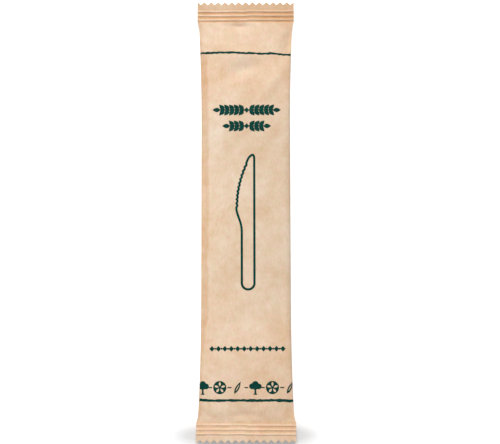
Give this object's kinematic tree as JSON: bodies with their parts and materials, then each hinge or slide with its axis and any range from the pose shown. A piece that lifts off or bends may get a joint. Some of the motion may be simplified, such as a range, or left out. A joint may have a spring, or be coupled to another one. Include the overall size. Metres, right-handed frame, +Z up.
{
  "type": "wrapped wooden knife",
  "caption": "Slim kraft paper flow-wrap sleeve sealed round a wooden knife, with ribbed end seals, zigzag cut ends and a fin seal folded flat down the back.",
  "frame": {"origin": "under the middle of the pack, on the surface that it lies on", "axes": "+Y along the pack towards the end nearer the printed title, +X across it to the right as it is read, +Z up out of its front"},
  "size_m": [0.0432, 0.195, 0.0055],
  "materials": {
    "kraft_paper": "matte"
  },
  "bodies": {
    "root": {"sealed_sleeve": "kraft_paper"}
  },
  "joints": []
}
